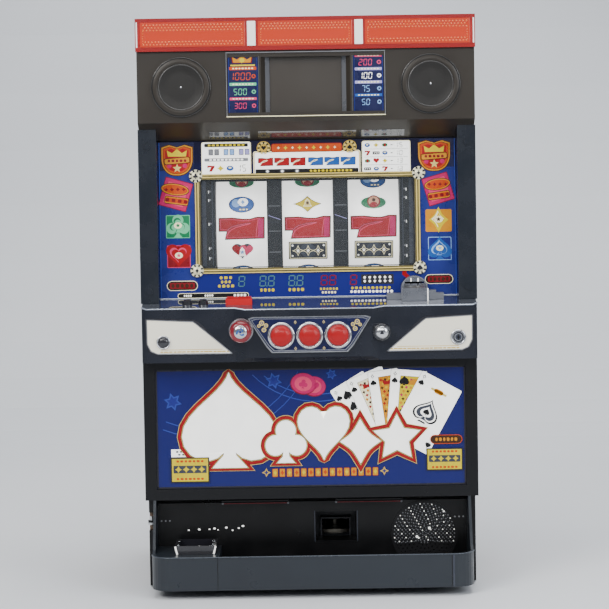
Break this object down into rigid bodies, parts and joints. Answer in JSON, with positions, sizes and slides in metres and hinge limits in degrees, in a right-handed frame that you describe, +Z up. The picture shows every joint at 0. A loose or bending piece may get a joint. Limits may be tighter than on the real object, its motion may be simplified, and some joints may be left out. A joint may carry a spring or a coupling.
{
  "type": "pachislot machine",
  "caption": "Free-standing pachislot cabinet with a hinged front door, three spinning reels, stop buttons, start lever, bet buttons, key lock, medal hopper, tray and lift-out ashtray.",
  "frame": {"origin": "centre of the cabinet's base, on the surface that it stands on", "axes": "+Z up, the front door faces -Y, +X to the right as a player sees it"},
  "size_m": [0.474, 0.464, 0.809],
  "materials": {
    "cabinet_board": "satin laminate",
    "plated_steel": "zinc plated",
    "door_frame": "black powder coat",
    "housing_grey": "satin moulded",
    "lamp_red": "translucent moulded lens",
    "circuit": "printed circuit board",
    "speaker_black": "satin ring and cone",
    "display_grey": "blank screen and printed panels",
    "cheek_slate": "semi-gloss moulded",
    "panel_blue": "printed acrylic",
    "clear_glass": "clear window",
    "gold_trim": "printed gold trim",
    "inner_black": "matt black moulded",
    "deck_slate": "satin moulded",
    "inlay_silver": "brushed silver plate",
    "stop_navy": "gloss navy with chrome edge",
    "bezel_chrome": "chrome rings",
    "slot_metal": "cast grey metal",
    "mechanism_grey": "moulded mechanism",
    "bin_blue": "moulded medal bins",
    "lamp_white": "lamp glass",
    "grille_dark": "punched steel",
    "button_red": "clear red caps",
    "button_black": "black caps",
    "reel_white": "white drum with printed strip",
    "disc_steel": "pressed medal disc"
  },
  "bodies": {
    "cabinet": {"cabinet_sides": "cabinet_board", "cabinet_top": "cabinet_board", "cabinet_floor": "cabinet_board", "cabinet_back": "cabinet_board", "cabinet_fittings": "plated_steel", "middle_shelf": "cabinet_board", "reel_unit_frame": "plated_steel", "reel_motors": "mechanism_grey", "reel_lamps": "lamp_white", "main_board_case": "clear_glass", "main_board": "circuit", "power_unit": "plated_steel", "hopper_base": "mechanism_grey", "hopper_bin": "bin_blue", "overflow_box": "bin_blue"},
    "door": {"door_hinges": "plated_steel", "medal_chutes": "plated_steel", "door_frame": "door_frame", "upper_housing": "housing_grey", "display_bezel": "housing_grey", "lamp_lens": "lamp_red", "lamp_board": "circuit", "switch_board": "circuit", "speakers": "speaker_black", "display_screen": "display_grey", "glass_cheeks": "cheek_slate", "main_panel": "panel_blue", "lower_panel": "panel_blue", "reel_glass": "clear_glass", "gold_frame": "gold_trim", "reel_shroud": "inner_black", "credit_display": "inner_black", "recess_wall": "inner_black", "lower_frame": "inner_black", "deck": "deck_slate", "tray": "deck_slate", "deck_inlays": "inlay_silver", "stop_panel": "stop_navy", "bezels": "bezel_chrome", "medal_slot_block": "slot_metal", "medal_selector": "mechanism_grey", "tube_light": "lamp_white", "speaker_grille": "grille_dark"},
    "power_switch": {"power_switch": "button_red"},
    "hopper_disc": {"hopper_disc": "disc_steel"},
    "reel_left": {"reel_left": "reel_white"},
    "reel_centre": {"reel_centre": "reel_white"},
    "reel_right": {"reel_right": "reel_white"},
    "stop_button_left": {"stop_button_left": "button_red"},
    "stop_button_centre": {"stop_button_centre": "button_red"},
    "stop_button_right": {"stop_button_right": "button_red"},
    "start_lever": {"start_lever": "bezel_chrome"},
    "max_bet_button": {"max_bet_button": "button_red"},
    "bet_1_button": {"bet_1_button": "button_black"},
    "bet_2_button": {"bet_2_button": "button_black"},
    "return_button": {"return_button": "bezel_chrome"},
    "settle_button": {"settle_button": "button_black"},
    "key_cylinder": {"key_cylinder": "bezel_chrome"},
    "lock_bar": {"lock_bar": "plated_steel"},
    "ashtray": {"ashtray": "button_black"}
  },
  "joints": [
    {"name": "door_hinge", "type": "hinge", "parent": "cabinet", "child": "door", "pos_m": [-0.232, -0.172, 0.4], "axis": [0, 0, -1], "range_deg": [0, 110]},
    {"name": "reel_left_spin", "type": "hinge", "parent": "cabinet", "child": "reel_left", "pos_m": [-0.095, -0.04, 0.521], "axis": [1, 0, 0], "continuous": true},
    {"name": "reel_centre_spin", "type": "hinge", "parent": "cabinet", "child": "reel_centre", "pos_m": [0, -0.04, 0.521], "axis": [1, 0, 0], "continuous": true},
    {"name": "reel_right_spin", "type": "hinge", "parent": "cabinet", "child": "reel_right", "pos_m": [0.095, -0.04, 0.521], "axis": [1, 0, 0], "continuous": true},
    {"name": "hopper_disc_spin", "type": "hinge", "parent": "cabinet", "child": "hopper_disc", "pos_m": [0.034, -0.035, 0.062], "axis": [0, 0, 1], "continuous": true},
    {"name": "power_switch_rock", "type": "hinge", "parent": "cabinet", "child": "power_switch", "pos_m": [-0.105, -0.096, 0.12], "axis": [1, 0, 0], "range_deg": [-8, 8]},
    {"name": "stop_left_press", "type": "slide", "parent": "door", "child": "stop_button_left", "axis": [0, 1, 0], "range_m": [0, 0.004], "stiffness_N_per_m": 300, "springref_m": -0.003},
    {"name": "stop_centre_press", "type": "slide", "parent": "door", "child": "stop_button_centre", "axis": [0, 1, 0], "range_m": [0, 0.004], "stiffness_N_per_m": 300, "springref_m": -0.003},
    {"name": "stop_right_press", "type": "slide", "parent": "door", "child": "stop_button_right", "axis": [0, 1, 0], "range_m": [0, 0.004], "stiffness_N_per_m": 300, "springref_m": -0.003},
    {"name": "start_lever_tilt", "type": "hinge", "parent": "door", "child": "start_lever", "pos_m": [-0.0953, -0.235, 0.374], "axis": [1, 0, 0], "range_deg": [-12, 12], "stiffness_Nm_per_rad": 6},
    {"name": "max_bet_press", "type": "slide", "parent": "door", "child": "max_bet_button", "axis": [0, 0, -1], "range_m": [0, 0.003], "stiffness_N_per_m": 400, "springref_m": -0.003},
    {"name": "bet_1_press", "type": "slide", "parent": "door", "child": "bet_1_button", "axis": [0, 0, -1], "range_m": [0, 0.003], "stiffness_N_per_m": 300, "springref_m": -0.003},
    {"name": "bet_2_press", "type": "slide", "parent": "door", "child": "bet_2_button", "axis": [0, 0, -1], "range_m": [0, 0.003], "stiffness_N_per_m": 300, "springref_m": -0.003},
    {"name": "return_press", "type": "slide", "parent": "door", "child": "return_button", "axis": [0, 1, 0], "range_m": [0, 0.004], "stiffness_N_per_m": 300, "springref_m": -0.003},
    {"name": "settle_press", "type": "slide", "parent": "door", "child": "settle_button", "axis": [0, 1, 0], "range_m": [0, 0.003], "stiffness_N_per_m": 300, "springref_m": -0.003},
    {"name": "key_turn", "type": "hinge", "parent": "door", "child": "key_cylinder", "pos_m": [0.2076, -0.225, 0.3597], "axis": [0, -1, 0], "range_deg": [0, 90]},
    {"name": "lock_bar_drop", "type": "slide", "parent": "door", "child": "lock_bar", "axis": [0, 0, -1], "range_m": [0, 0.012]},
    {"name": "ashtray_lift", "type": "slide", "parent": "door", "child": "ashtray", "axis": [0, 0, 1], "range_m": [0, 0.04]}
  ],
  "couplings": [
    {"joint": "key_turn", "follows": "lock_bar_drop", "rad_per_m": 130.8}
  ]
}
